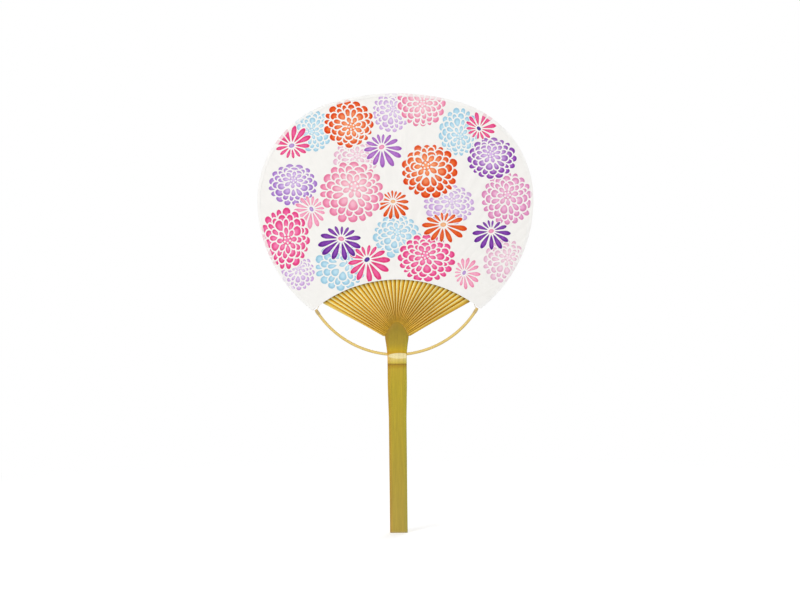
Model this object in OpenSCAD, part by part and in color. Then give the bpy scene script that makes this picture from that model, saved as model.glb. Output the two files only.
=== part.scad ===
// Round flat-handled paper fan. All lengths are millimetres.
// Z runs up the handle towards the head and the printed front faces -Y.
// The origin is the middle of the handle's butt face.

/* [Handle] */
// Width of the bamboo strip over the grip
grip_w = 14.5; // [12:0.1:17]
// Thickness of the strip at the middle of its crowned front
handle_t = 4.4; // [4:0.1:6]
// Height of the crown of the front over the width of the grip
crown_h = 0.25; // [0.1:0.05:0.4]
// Height at which the grip starts to widen towards the neck
grip_top = 94; // [60:1:105]
// Width of the neck below the node
neck_w = 15.8; // [14:0.1:18]
// Height of the place where the neck reaches its width
neck_z = 121; // [110:1:130]
// Bevel round the end of the butt
butt_bevel = 0.6; // [0.2:0.1:1]

/* [Node of the bamboo] */
// Height of the bow's hole, which goes through the node
node_z = 146; // [140:1:152]
// Depth of the shaved patch over the node
patch_depth = 0.45; // [0.35:0.05:0.5]
// Height of the shaved patch
patch_h = 4.8; // [3:0.1:6]
// Drop of the middle of the patch below the hole
patch_drop = 1; // [0:0.1:1.5]
// Drop of the ring groove below the hole
groove_drop = 8; // [6:0.5:10]
// Depth of the ring groove
groove_depth = 0.25; // [0.1:0.05:0.4]
// Width of the ring groove
groove_w = 1; // [0.6:0.1:1.4]

/* [Shoulder] */
// Width of the neck just below the shoulder
collar_w = 17.7; // [16:0.1:19]
// Height of the collar above the bow's hole
collar_rise = 8.5; // [6:0.5:11]
// Width across the shoulder, shared out among the ribs
shoulder_w = 19.4; // [18:0.1:24]
// Height of the shoulder's corners above the bow's hole
shoulder_rise = 15; // [13:0.5:18]
// Height of the straight cheeks below the shoulder's corners
cheek_h = 1.5; // [0.5:0.1:2.5]
// Height of the unsplit middle above the shoulder's corners
dome_h = 11.6; // [8:0.2:14]
// Rise above the hole at which the back starts to slope in
scoop_rise = 5; // [3:0.5:8]

/* [Ribs] */
// Number of ribs that the strip is split into
rib_n = 34; // [24:1:36]
// Distance along the paper's lower edge from the bow's end to the outermost rib
rib_inset = 9.9; // [8:0.1:12]
// Width of a rib, which faces front to back where it leaves the handle
rib_w = 3.2; // [2.6:0.1:3.3]
// Width of a rib where it goes under the paper
edge_rib_w = 4.1; // [3.3:0.1:4.3]
// Thickness of a rib
rib_t = 0.45; // [0.3:0.05:0.5]
// Width of the saw cut between two ribs at the handle
kerf = 0.13; // [0.05:0.01:0.2]
// Turn of a rib about its length where it goes under the paper
rib_turn = 68; // [58:1:70]
// Width of a rib where it is trimmed for the paper
head_rib_w = 1.7; // [1.2:0.1:2]
// Turn of the trimmed rib about its length
head_turn = 76; // [70:1:82]
// Length over which the rib is trimmed
trim_l = 1.6; // [1:0.1:2]
// Width of a rib at its tip
tip_w = 1.1; // [0.8:0.1:1.6]
// Distance of the tips from the rim
tip_gap = 1.5; // [0.8:0.1:3]

/* [Head] */
// Greatest width of the paper
head_w = 226; // [205:1:245]
// Height of the widest place above the shoulder's corners
widest_rise = 111.7; // [104:0.5:120]
// Height of the rim's crown above the widest place
crown_rise = 87.3; // [78:0.5:98]
// Drop of the side arcs' tops below the crown
crown_drop = 4.5; // [3:0.5:8]
// Height of the lower edge of the paper above the shoulder, at the middle
edge_rise = 46.5; // [40:0.5:52]
// Radius of the lower edge of the paper
edge_r = 108; // [98:1:120]
// Thickness of each sheet
paper_t = 0.2; // [0.15:0.05:0.3]
// Paste between the ribs and a sheet
paste = 0.1; // [0.05:0.05:0.15]
// Length of the stretch in which the sheets close in behind the thread
close_l = 18; // [12:1:30]
// Width of the edging strip on each face
edging_w = 2.4; // [1.5:0.1:4]
// Thickness of the edging strip
edging_t = 0.2; // [0.15:0.05:0.3]

/* [Bow] */
// Diameter of the bow's rod
bow_d = 2.45; // [2:0.05:2.6]
// Clearance round the rod in its hole
bow_clear = 0.1; // [0.05:0.05:0.15]
// Distance of the rod's ends from the corners of the paper
bow_inset = 2.2; // [1.8:0.1:4]
// Distance from the paper's lower edge to the middle of the rod's ends
bow_gap = 1.1; // [0.9:0.1:2]

/* [Thread] */
// Diameter of the binding thread
thread_d = 0.4; // [0.3:0.05:0.5]
// Distance of the thread from the lower edge of the paper
thread_in = 2.5; // [2.3:0.1:4]
// Clearance between the thread and what it binds
thread_clear = 0.05; // [0.03:0.01:0.1]
// Turns of the thread round each end of the bow
wrap_n = 4; // [2:1:6]
// Advance of one turn along the rod
wrap_pitch = 0.85; // [0.82:0.01:1]
// Distance of the last turn from the end of the rod
wrap_in = 1.4; // [1:0.1:2.4]

/* [Hidden] */
$fn = 96;
// Extra length of shapes that only cut
spare = 1;
// Heights of the shoulder and of the head, worked up from the node
shoulder_z = node_z + shoulder_rise;
dome_z = shoulder_z + dome_h;
widest_z = shoulder_z + widest_rise;
crown_z = widest_z + crown_rise;
// Centre of the arc of the paper's lower edge
edge_z = shoulder_z + edge_rise - edge_r;
// Radius of the strip's crowned front
front_r = (grip_w * grip_w / 4 + crown_h * crown_h) / (2 * crown_h);
// Arcs of the rim: a half circle below, two side arcs and a flatter crown above
rim_r = head_w / 2;
side_r = crown_rise - crown_drop;
side_x = rim_r - side_r;
top_r = (side_x * side_x + crown_rise * crown_rise - side_r * side_r) / (2 * crown_drop);
top_z = crown_z - top_r;
joint_turn = asin(side_x / (top_r - side_r));
joint_x = top_r * sin(joint_turn);
// Turn between two points of the rim's round stretches
rim_step = 3;
// Corner of the paper, where the rim meets the lower edge
corner_rise = (pow(widest_z - edge_z, 2) + edge_r * edge_r - rim_r * rim_r)
    / (2 * (widest_z - edge_z));
corner_turn = acos(corner_rise / edge_r);
// Ends and arc of the bow, which rises from the hole to just below the corners
bow_tip_turn = corner_turn - bow_inset / edge_r * 180 / PI;
bow_tip_x = (edge_r - bow_gap) * sin(bow_tip_turn);
bow_tip_z = edge_z + (edge_r - bow_gap) * cos(bow_tip_turn);
bow_r = (pow(bow_tip_x, 2) + pow(bow_tip_z - node_z, 2)) / (2 * (bow_tip_z - node_z));
bow_cz = node_z + bow_r;
bow_half = atan2(bow_tip_x, bow_cz - bow_tip_z);
// Share of the shoulder that one rib takes
slice = shoulder_w / rib_n;
// Outermost ribs: where they leave the shoulder, and their turn on the lower edge inside the bow
last_x = (shoulder_w - slice) / 2;
last_turn = bow_tip_turn - rib_inset / edge_r * 180 / PI;
// Half depth, front to back, of a turned rib
edge_half = half_depth(edge_rib_w, rib_turn);
head_half = half_depth(head_rib_w, head_turn);
// Path of the thread: its radius about the edge's centre and its distance from the middle plane
thread_path_r = edge_r + thread_in;
thread_y = head_half + thread_clear + thread_d / 2;
// Inner faces of the sheets near the lower edge and over the rest of the head
sheet_low = max(edge_half, thread_y + thread_d / 2) + paste;
sheet_high = head_half + paste;
close_r = thread_path_r + thread_d;
far_r = crown_z - edge_z + rim_r;

function rib_name(i) = str("rib_", i < 10 ? "0" : "", i);

// Half of the front to back depth of a rib of width w turned about its length
function half_depth(w, turn) = (w * cos(turn) + rib_t * sin(turn)) / 2;
// Half of its width seen from the front
function half_front(w, turn) = (w * sin(turn) + rib_t * cos(turn)) / 2;

// Place of rib i across the fan, from -1 at the left to 1 at the right
function place(i) = 2 * (i - 1) / (rib_n - 1) - 1;
function root_x(i) = place(i) * last_x;
// Lean of rib i, which runs straight to its equal share of the paper's lower edge
function lean(i) =
    let (turn = place(i) * last_turn)
    atan2(
        edge_r * sin(turn) - root_x(i),
        edge_z + edge_r * cos(turn) - split_z(root_x(i)));
// Height of the end of the splits, a parabola across the shoulder
function split_z(x) = shoulder_z + dome_h * (1 - pow(2 * x / shoulder_w, 2));
function root(i) = [root_x(i), 0, split_z(root_x(i))];
function along(i) = [sin(lean(i)), 0, cos(lean(i))];
function across(i) = [cos(lean(i)), 0, -sin(lean(i))];

// Distance along a line from p in direction d to the circle of radius r about [cx, cz]
function reach(p, d, cx, cz, r) =
    let (
        px = p[0] - cx,
        pz = p[2] - cz,
        b = px * d[0] + pz * d[2],
        c = px * px + pz * pz - r * r)
    sqrt(b * b - c) - b;
function reach_edge(i, r) = reach(root(i), along(i), 0, edge_z, r);
// Distance from the root to the rim, on whichever of its arcs the rib ends
function reach_rim(i) =
    let (
        top = reach(root(i), along(i), 0, top_z, top_r),
        side = reach(root(i), along(i), sign(place(i)) * side_x, widest_z, side_r),
        top_x = abs(root(i)[0] + top * along(i)[0]),
        side_h = root(i)[2] + side * along(i)[2])
    top_x < joint_x ? top
        : side_h > widest_z ? side
        : reach(root(i), along(i), 0, widest_z, rim_r);

// Four corners of a rib's section at distance s, of width w, turned about its length
function rib_ring(i, s, w, turn) =
    let (
        c = root(i) + s * along(i),
        flat = sin(turn) * across(i) + [0, cos(turn), 0],
        thin = cos(turn) * across(i) - [0, sin(turn), 0])
    [for (k = [[-1, -1], [1, -1], [1, 1], [-1, 1]])
        c + k[0] * thin * rib_t / 2 + k[1] * flat * w / 2];
// The first section lies in the end face of the splits
function root_ring(i) =
    [for (k = [[-1, -1], [1, -1], [1, 1], [-1, 1]])
        let (x = root_x(i) + k[0] * (slice - kerf) / 2)
        [x, k[1] * rib_w / 2, split_z(x)]];

// Closed solid over a row of rings that all have the same number of points
module skin(rings) {
    n = len(rings[0]);
    last = len(rings) - 1;
    points = [for (ring = rings) for (p = ring) p];
    sides = [for (j = [0 : last - 1]) for (k = [0 : n - 1])
        let (a = j * n + k, b = j * n + (k + 1) % n)
        each [[a, b + n, b], [a, a + n, b + n]]];
    start = [for (k = [1 : n - 2]) [0, k, k + 1]];
    end = [for (k = [1 : n - 2]) [last * n, last * n + k + 1, last * n + k]];
    polyhedron(points = points, faces = concat(sides, start, end), convexity = 4);
}

// Stands a flat drawing of the front view up in the XZ plane
module upright(depth) {
    rotate([90, 0, 0]) linear_extrude(height = depth, center = true) children();
}

// Outline of the handle from the front
module handle_outline() {
    half = [
        [grip_w / 2 - butt_bevel, 0],
        [grip_w / 2, butt_bevel],
        [grip_w / 2, grip_top],
        [neck_w / 2, neck_z],
        [neck_w / 2, node_z],
        [collar_w / 2, node_z + collar_rise],
        [shoulder_w / 2, shoulder_z - cheek_h],
        [shoulder_w / 2, shoulder_z]];
    splits = [for (i = [rib_n : -1 : 1]) for (k = [1, -1])
        let (x = root_x(i) + k * (slice - kerf) / 2) [x, split_z(x)]];
    left = [for (i = [len(half) - 1 : -1 : 0]) [-half[i][0], half[i][1]]];
    polygon(concat(half, splits, left));
}

// Outline of the handle from the side, as [depth, height]
module handle_side() {
    t = handle_t / 2;
    polygon([
        [-t + butt_bevel, 0],
        [t - butt_bevel, 0],
        [t, butt_bevel],
        [t, node_z + scoop_rise],
        [rib_w / 2, shoulder_z],
        [rib_w / 2, dome_z + spare],
        [-t, dome_z + spare],
        [-t, butt_bevel]]);
}

// Section of the strip: flat behind, crowned in front
module handle_section() {
    intersection() {
        translate([-shoulder_w, -handle_t / 2]) square([2 * shoulder_w, handle_t]);
        translate([0, front_r - handle_t / 2]) circle(r = front_r, $fn = 240);
    }
}

// Ring of round section of diameter d along the bow's arc, half_turn to each side
module bow_arc(d, half_turn) {
    translate([0, 0, bow_cz])
        rotate([90, 0, 0])
            rotate([0, 0, 270 - half_turn])
                rotate_extrude(angle = 2 * half_turn, $fn = 180)
                    translate([bow_r, 0])
                        circle(d = d, $fn = 48);
}

// Cut across the front, of the given depth and height, round about the X direction
module front_cut(z, depth, height) {
    r = (height * height / 4 + depth * depth) / (2 * depth);
    translate([0, depth - handle_t / 2 - r, z])
        rotate([0, 90, 0])
            cylinder(r = r, h = 2 * shoulder_w, center = true);
}

module handle() {
    color("#AE9B42")
        difference() {
            intersection() {
                upright(2 * handle_t) handle_outline();
                linear_extrude(height = dome_z + spare) handle_section();
                rotate([90, 0, 90])
                    linear_extrude(height = 2 * shoulder_w, center = true) handle_side();
            }
            bow_arc(bow_d + 2 * bow_clear, asin(collar_w / bow_r));
            front_cut(node_z - patch_drop, patch_depth, patch_h);
            front_cut(node_z - groove_drop, groove_depth, groove_w);
        }
}

module bow() {
    color("#E0C276") bow_arc(bow_d, bow_half);
}

module rib(i) {
    edge_s = reach_edge(i, edge_r);
    trim_s = reach_edge(i, edge_r + trim_l);
    tip_s = reach_rim(i) - tip_gap;
    steps = 12;
    // It turns in equal steps, quickest near the handle, and widens with its length
    turned = [for (k = [1 : steps])
        let (share = pow(k / steps, 1.5))
        rib_ring(
            i, edge_s * share, rib_w + share * (edge_rib_w - rib_w), rib_turn * k / steps)];
    color("#E3BE55")
        skin(concat(
            [root_ring(i)],
            turned,
            [rib_ring(i, trim_s, head_rib_w, head_turn)],
            [rib_ring(i, tip_s, tip_w, head_turn)]));
}

// Points of a round stretch about [cx, cz], turned clockwise from straight up, without its last point
function arc(cx, cz, r, from, to) =
    let (n = ceil((to - from) / rim_step))
    [for (k = [0 : n - 1])
        let (turn = from + (to - from) * k / n)
        [cx + r * sin(turn), cz + r * cos(turn)]];

// Outline of the head, moved outwards by grow
module head_outline(grow) {
    polygon(concat(
        arc(0, top_z, top_r + grow, -joint_turn, joint_turn),
        arc(side_x, widest_z, side_r + grow, joint_turn, 90),
        arc(0, widest_z, rim_r + grow, 90, 270),
        arc(-side_x, widest_z, side_r + grow, 270, 360 - joint_turn)));
}

// Line of a face grow outside the sheets' inner faces, as [distance from the edge's centre, depth]
function face_line(grow) = [
    [edge_r, sheet_low + grow],
    [close_r, sheet_low + grow],
    [close_r + close_l, sheet_high + grow],
    [far_r, sheet_high + grow]];
function reversed(list) = [for (i = [len(list) - 1 : -1 : 0]) list[i]];

// Turns a section about the centre of the lower edge
module about_edge() {
    translate([0, 0, edge_z])
        rotate([90, 0, 0])
            rotate_extrude($fn = 360) children();
}

// Part of the head in front of the middle plane, moved outwards by grow
module front_half(grow) {
    depth = 2 * handle_t;
    translate([0, -depth / 2, 0]) upright(depth) head_outline(grow);
}

// Everything inside two faces grow outside the sheets' inner faces, from front to back
module between_faces(grow) {
    line = face_line(grow);
    about_edge() polygon(concat(line, [for (p = reversed(line)) [p[0], -p[1]]]));
}

// Sheet in front of the ribs; the back one is its mirror image
module sheet() {
    intersection() {
        about_edge() polygon(concat(face_line(0), reversed(face_line(paper_t))));
        front_half(0);
    }
}

module front_paper() {
    color("#F6F4F0") sheet();
}

module back_paper() {
    color("#F2F0EA") mirror([0, 1, 0]) sheet();
}

// Narrow strip folded over the rim of both sheets, from corner to corner
module edging_strip() {
    color("#FAFAF7")
        difference() {
            intersection() {
                between_faces(paper_t + edging_t);
                upright(4 * handle_t) head_outline(edging_t);
            }
            intersection() {
                between_faces(paper_t);
                upright(4 * handle_t) head_outline(0);
            }
            upright(4 * handle_t) head_outline(-edging_w);
        }
}

// Turn of rib i about the centre of the lower edge where the thread crosses it
function cross_turn(i) =
    let (p = root(i) + reach_edge(i, thread_path_r) * along(i))
    atan2(p[0], p[2] - edge_z);
// Half of the turn that the rib takes up there
function half_turn(i) =
    (half_front(head_rib_w, head_turn) / cos(lean(i) - cross_turn(i)) + thread_d / 2)
        / thread_path_r * 180 / PI;
// The thread passes in front of the odd ribs and behind the even ones
function over(i) = i % 2 == 1 ? -1 : 1;
function polar(turn, r, y) = [r * sin(turn), y, edge_z + r * cos(turn)];
woven = [for (i = [1 : rib_n]) for (k = [-1, 1])
    polar(cross_turn(i) + k * half_turn(i), thread_path_r, over(i) * thread_y)];

// Turns round one end of the bow, from the free end to the place where the thread leaves
wrap_r = bow_d / 2 + thread_clear + thread_d / 2;
wrap_steps = 12;
function wrap(side, face) =
    let (count = wrap_n * wrap_steps)
    [for (k = [count : -1 : 0])
        let (
            s = wrap_in + wrap_pitch * k / wrap_steps,
            turn = bow_half - s / bow_r * 180 / PI,
            phi = 360 * k / wrap_steps,
            out = bow_r + wrap_r * sin(phi))
        [side * out * sin(turn), face * wrap_r * cos(phi), bow_cz - out * cos(turn)]];
// Point between a and b, just outside the paper's lower edge, where the thread turns in
function lead(a, b) =
    let (
        from = norm([a[0], a[2] - edge_z]),
        f = (edge_r - thread_d - from) / (thread_path_r - from),
        p = a + f * (b - a))
    [p[0], b[1], p[2]];
left_wrap = wrap(-1, over(1));
right_wrap = reversed(wrap(1, over(rib_n)));
thread_route = concat(
    left_wrap,
    [lead(left_wrap[wrap_n * wrap_steps], woven[0])],
    woven,
    [lead(right_wrap[0], woven[len(woven) - 1])],
    right_wrap);

function unit(v) = v / norm(v);
thread_sides = 6;
// Ring of the thread about point j of its route
function thread_ring(j) =
    let (
        p = thread_route[j],
        before = thread_route[max(j - 1, 0)],
        after = thread_route[min(j + 1, len(thread_route) - 1)],
        t = unit(after - before),
        radial = unit([p[0], 0, p[2] - edge_z]),
        u = unit(radial - (radial * t) * t),
        v = cross(t, u))
    [for (k = [0 : thread_sides - 1])
        let (phi = 360 * k / thread_sides)
        p + thread_d / 2 * (cos(phi) * u + sin(phi) * v)];

module binding_thread() {
    color("#E8E0CC")
        skin([for (j = [0 : len(thread_route) - 1]) thread_ring(j)]);
}

handle();
bow();
binding_thread();
front_paper();
back_paper();
edging_strip();
for (i = [1 : rib_n])
    rib(i);
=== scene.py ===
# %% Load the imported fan
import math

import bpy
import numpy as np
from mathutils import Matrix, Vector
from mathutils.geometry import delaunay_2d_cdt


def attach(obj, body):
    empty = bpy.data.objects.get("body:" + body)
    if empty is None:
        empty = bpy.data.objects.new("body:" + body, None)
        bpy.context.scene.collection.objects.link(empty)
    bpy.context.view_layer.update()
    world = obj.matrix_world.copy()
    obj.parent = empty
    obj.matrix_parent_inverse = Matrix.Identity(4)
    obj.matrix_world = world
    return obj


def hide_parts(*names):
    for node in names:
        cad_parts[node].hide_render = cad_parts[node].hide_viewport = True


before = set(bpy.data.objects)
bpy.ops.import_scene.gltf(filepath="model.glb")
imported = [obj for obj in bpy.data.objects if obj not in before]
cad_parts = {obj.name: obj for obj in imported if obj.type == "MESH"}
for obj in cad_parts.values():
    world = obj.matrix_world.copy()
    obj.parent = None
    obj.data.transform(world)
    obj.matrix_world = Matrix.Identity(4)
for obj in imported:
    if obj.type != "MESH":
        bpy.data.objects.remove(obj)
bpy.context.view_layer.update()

# %% [markdown]
# # A round paper fan
# The fan is one strip of bamboo. Its upper half is split into ribs, which a bent rod and a
# thread hold apart, and two sheets of paper are pasted over them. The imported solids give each
# piece its size and place. Here every piece gets the surface that the real one has: planed
# and shaved bamboo, split ribs that turn on their way up, and a sheet printed with
# chrysanthemums. All of them are worked out as numpy arrays in millimetres and turned to
# metres when a mesh is made.

MM = 0.001
print("solids in the frame:", len(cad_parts))

# %% [markdown]
# ## Camera
# A print is judged straight from the front, so the camera looks square at the sheet. A long
# lens from a metre and a half keeps the sides of the head from turning away. Its height and
# distance put one picture dot on 0.82 mm of the fan. The head leans by a degree to one side
# of the handle, and a roll of a little more than half of that shares the lean out.

# %% Camera
PHOTO_W = 800
DOT = 0.82 * MM
LENS, SENSOR = 85, 36
EYE_X, EYE_Z = 2.9, 190.7
EYE = Vector((EYE_X * MM, -PHOTO_W * DOT * LENS / SENSOR, EYE_Z * MM))
ROLL = math.radians(0.6)

camera = bpy.data.objects.new("camera", bpy.data.cameras.new("camera"))
bpy.context.scene.collection.objects.link(camera)
camera.data.lens = LENS
camera.data.sensor_width = SENSOR
camera.location = EYE
camera.rotation_euler = (math.pi / 2, ROLL, 0)
bpy.context.scene.camera = camera
print("camera distance in metres:", round(-EYE.y, 3))

# %% [markdown]
# ## Helpers for colour, nodes and meshes
# Colours are written as a screen shows them and turned to linear light once. A mesh is made
# from whole arrays. A colour attribute carries what changes along a piece, such as ink or
# the tone of bamboo, and a UV map in millimetres carries the direction of the grain. Every
# finished piece rides on the fan's one body and takes the place of its solid.

# %% Colour and node helpers
def linear(code):
    """Linear light of an sRGB hex colour: each channel c becomes ((c + 0.055) / 1.055) ^ 2.4."""
    c = np.array([int(code[k:k + 2], 16) for k in (1, 3, 5)]) / 255
    return np.where(c <= 0.04045, c / 12.92, ((c + 0.055) / 1.055) ** 2.4)


def mix(one, other, share):
    """The one where the share is 0, the other where it is 1."""
    return one * (1 - share) + other * share


def along_stops(stops, value):
    """Linear light at each value between stops, which are pairs of a number and an sRGB colour."""
    colours = np.array([linear(code) for _, code in stops])
    numbers = [number for number, _ in stops]
    return np.stack([np.interp(value, numbers, colours[:, c]) for c in range(3)], -1)


def add(tree, kind, settings=(), feeds=(), **links):
    """Adds a node, sets what settings names, and feeds its inputs, by number in feeds and by name in
    links. A number or colour is set on the input, and a node stands for its first output."""
    node = tree.nodes.new(kind)
    for name, value in dict(settings).items():
        setattr(node, name, value)
    named = [(name.replace("_", " "), value) for name, value in links.items()]
    for key, value in [*enumerate(feeds), *named]:
        if isinstance(value, bpy.types.Node):
            value = value.outputs[0]
        if isinstance(value, bpy.types.NodeSocket):
            tree.links.new(value, node.inputs[key])
        else:
            node.inputs[key].default_value = value
    return node


def ramp(tree, value, low, high, start=0.0, stop=1.0, **settings):
    """A number that goes from low to high while the value goes from start to stop."""
    return add(
        tree, "ShaderNodeMapRange", settings, Value=value, From_Min=start, From_Max=stop,
        To_Min=low, To_Max=high)


def new_material(name):
    """A material with only its output node."""
    material = bpy.data.materials.new(name)
    material.use_nodes = True
    material.node_tree.nodes.clear()
    return material, material.node_tree


def surface(tree, colour, shade, height, strength, depth, **looks):
    """The material's surface: the colour times the shade, with height as a bump of depth mm."""
    tint = add(tree, "ShaderNodeVectorMath", {"operation": "SCALE"}, Vector=colour, Scale=shade)
    bump = add(tree, "ShaderNodeBump", Strength=strength, Distance=depth * MM, Height=height)
    skin = add(tree, "ShaderNodeBsdfPrincipled", Base_Color=tint, Normal=bump, **looks)
    add(tree, "ShaderNodeOutputMaterial", Surface=skin)


# %% Mesh helpers
def make_piece(name, points, faces, smooth=True):
    """A mesh object from points in millimetres and lists of faces."""
    mesh = bpy.data.meshes.new(name)
    mesh.from_pydata((np.asarray(points) * MM).tolist(), [], [f.tolist() for f in faces])
    mesh.polygons.foreach_set("use_smooth", np.full(len(mesh.polygons), smooth))
    mesh.update()
    piece = bpy.data.objects.new(name, mesh)
    bpy.context.scene.collection.objects.link(piece)
    return piece


def paint(piece, name, colour):
    """A colour attribute from one linear colour per point."""
    layer = piece.data.color_attributes.new(name, "FLOAT_COLOR", "POINT")
    layer.data.foreach_set("color", np.column_stack([colour, np.ones(len(colour))]).ravel())


def lay_grain(piece, across, along):
    """A UV map in millimetres, one pair per point, read at every corner of every face."""
    corners = np.empty(len(piece.data.loops), int)
    piece.data.loops.foreach_get("vertex_index", corners)
    layer = piece.data.uv_layers.new(name="grain")
    layer.data.foreach_set("uv", np.column_stack([across, along])[corners].ravel())


def dress(piece, material, node):
    """Finishes a new piece: its material, the body it rides on, and the solid it stands for."""
    piece.data.materials.append(material)
    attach(piece, "root")
    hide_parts(node)


# %% Shape helpers
def tube_faces(rows, columns):
    """Faces over a grid of rows of a closed profile, with a fan of triangles at each end."""
    j, k = np.meshgrid(np.arange(rows - 1), np.arange(columns), indexing="ij")
    a, b = j * columns + k, j * columns + (k + 1) % columns
    sides = np.stack([a, a + columns, b + columns, b], -1).reshape(-1, 4)
    k = np.arange(1, columns - 1)
    first = np.stack([0 * k, k, k + 1], -1)
    last = (rows - 1) * columns + np.stack([0 * k, k + 1, k], -1)
    return [*sides, *first, *last]


def smoothstep(low, high, value):
    """0 up to low, 1 from high on, and 3t^2 - 2t^3 between them."""
    t = np.clip((value - low) / (high - low), 0, 1)
    return t * t * (3 - 2 * t)


def direction(turn):
    """A step of length 1 in the plane of the sheet, turned clockwise from straight up."""
    return np.stack([np.sin(turn), np.cos(turn)], -1)


# %% [markdown]
# ## Sizes
# These are the sizes, in millimetres, that the solids were made with. The ribs stand on the
# end of the handle's splits, a parabola, and run straight to places that divide the paper's
# lower edge evenly, the last ones just inside the ends of the bow.

# %% Sizes of the bamboo
GRIP_W, NECK_W, COLLAR_W, SHOULDER_W = 14.5, 15.8, 17.7, 19.4
GRIP_TOP, NECK_Z, NODE_Z, COLLAR_Z, SHOULDER_Z = 94, 121, 146, 154.5, 161
HANDLE_T, CROWN_H, BUTT_BEVEL, CHEEK_H, DOME_H = 4.4, 0.25, 0.6, 1.5, 11.6
RIB_N, RIB_W, EDGE_RIB_W, RIB_T = 34, 3.2, 4.1, 0.45
HEAD_RIB_W, TIP_W, TRIM_L, TIP_GAP = 1.7, 1.1, 1.6, 1.5
RIB_TURN, HEAD_TURN = math.radians(68), math.radians(76)
SLICE = SHOULDER_W / RIB_N

# %% Sizes of the head
HEAD_W, WIDEST_Z, CROWN_RISE, CROWN_DROP = 226, 272.7, 87.3, 4.5
EDGE_Z, EDGE_R = 99.5, 108
PAPER_T, PASTE, EDGING_W, EDGING_T, CLOSE_L = 0.2, 0.1, 2.4, 0.2, 18
BOW_D, BOW_INSET, BOW_GAP, RIB_INSET = 2.45, 2.2, 1.1, 9.9
THREAD_D, THREAD_IN, THREAD_CLEAR = 0.4, 2.5, 0.05

RIM_R = HEAD_W / 2
SIDE_R = CROWN_RISE - CROWN_DROP
SIDE_X = RIM_R - SIDE_R
TOP_R = (SIDE_X ** 2 + CROWN_RISE ** 2 - SIDE_R ** 2) / (2 * CROWN_DROP)
TOP_Z = WIDEST_Z + CROWN_RISE - TOP_R
JOINT = math.asin(SIDE_X / (TOP_R - SIDE_R))
EDGE_DROP = WIDEST_Z - EDGE_Z
CORNER = math.acos((EDGE_DROP ** 2 + EDGE_R ** 2 - RIM_R ** 2) / (2 * EDGE_DROP * EDGE_R))
CORNER_X, CORNER_Z = EDGE_R * math.sin(CORNER), EDGE_Z + EDGE_R * math.cos(CORNER)
RIM_CORNER = math.atan2(CORNER_X, CORNER_Z - WIDEST_Z)

# %% Roots and directions of the ribs
BOW_TIP = CORNER - BOW_INSET / EDGE_R
LAST_TURN = BOW_TIP - RIB_INSET / EDGE_R


def split_z(x):
    """Height of the end of the splits: the shoulder plus a parabola across it."""
    return SHOULDER_Z + DOME_H * (1 - (2 * x / SHOULDER_W) ** 2)


PLACE = np.linspace(-1, 1, RIB_N)
LAST_X = (SHOULDER_W - SLICE) / 2
ROOTS = np.column_stack([PLACE * LAST_X, split_z(PLACE * LAST_X)])
EDGE_ENDS = np.array([0, EDGE_Z]) + EDGE_R * direction(PLACE * LAST_TURN)
TO_EDGE = np.linalg.norm(EDGE_ENDS - ROOTS, axis=1)
ALONG = (EDGE_ENDS - ROOTS) / TO_EDGE[:, None]
ACROSS = np.column_stack([ALONG[:, 1], -ALONG[:, 0]])
print("lean of the last rib in degrees:", round(math.degrees(math.asin(ALONG[-1, 0])), 2))


def reach(centre_x, centre_z, radius):
    """Distance from every root, along its rib, to a circle: the root of a quadratic."""
    gap = ROOTS - np.column_stack([np.broadcast_to(centre_x, RIB_N), np.full(RIB_N, centre_z)])
    b = (gap * ALONG).sum(1)
    return np.sqrt(np.maximum(b * b - (gap * gap).sum(1) + radius ** 2, 0)) - b


TO_TRIM = reach(0, EDGE_Z, EDGE_R + TRIM_L)


def reach_rim():
    """The top arc's reach where a rib ends between its joints, else a side arc's or the low arc's."""
    top = reach(0, TOP_Z, TOP_R)
    side = reach(np.sign(PLACE) * SIDE_X, WIDEST_Z, SIDE_R)
    on_top = np.abs((ROOTS + top[:, None] * ALONG)[:, 0]) < TOP_R * math.sin(JOINT)
    on_side = (ROOTS + side[:, None] * ALONG)[:, 1] > WIDEST_Z
    return np.where(on_top, top, np.where(on_side, side, reach(0, WIDEST_Z, RIM_R)))


TO_RIM = reach_rim()

# %% [markdown]
# ## Bamboo
# Split and planed bamboo shows long fibres: fine streaks that run the length of the piece,
# a little darker and lighter, under a dull waxy skin. One material serves the handle, the
# bow and the ribs. A colour attribute gives each its own tone, and the streaks are a noise
# stretched to sixty times its width, on the grain's own UV map, so they follow every rib as
# it turns.

# %% Bamboo material
FIBRE_LONG, PATCH_WIDE, PATCH_LONG = 60, 6, 110


def streaks(tree, across, along, **settings):
    """Noise on the grain's map, so many millimetres wide and long."""
    grain = add(tree, "ShaderNodeUVMap", {"uv_map": "grain"})
    place = add(tree, "ShaderNodeMapping", Vector=grain, Scale=(1 / across, 1 / along, 1))
    return add(tree, "ShaderNodeTexNoise", Vector=place, Scale=1.0, **settings)


def bamboo(name, fibre_mm, roughness, depth, gloss):
    """Waxy bamboo: the tone attribute times streaks, with the same streaks as a shallow bump."""
    material, tree = new_material(name)
    fibres = streaks(tree, fibre_mm, fibre_mm * FIBRE_LONG, Detail=4.0, Roughness=0.6)
    patches = streaks(tree, fibre_mm * PATCH_WIDE, fibre_mm * PATCH_LONG, Detail=2.0)
    fine = ramp(tree, fibres, 0.80, 1.16, 0.25, 0.75)
    wide = ramp(tree, patches, 0.93, 1.06, 0.3, 0.7)
    both = add(tree, "ShaderNodeMath", {"operation": "MULTIPLY"}, (fine, wide))
    tone = add(tree, "ShaderNodeVertexColor", {"layer_name": "tone"})
    shine = ramp(tree, fibres, roughness - 0.08, roughness + 0.10)
    surface(
        tree, tone, both, fibres, 0.5, depth, Roughness=shine, IOR=1.5, Specular_IOR_Level=gloss)
    return material


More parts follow.
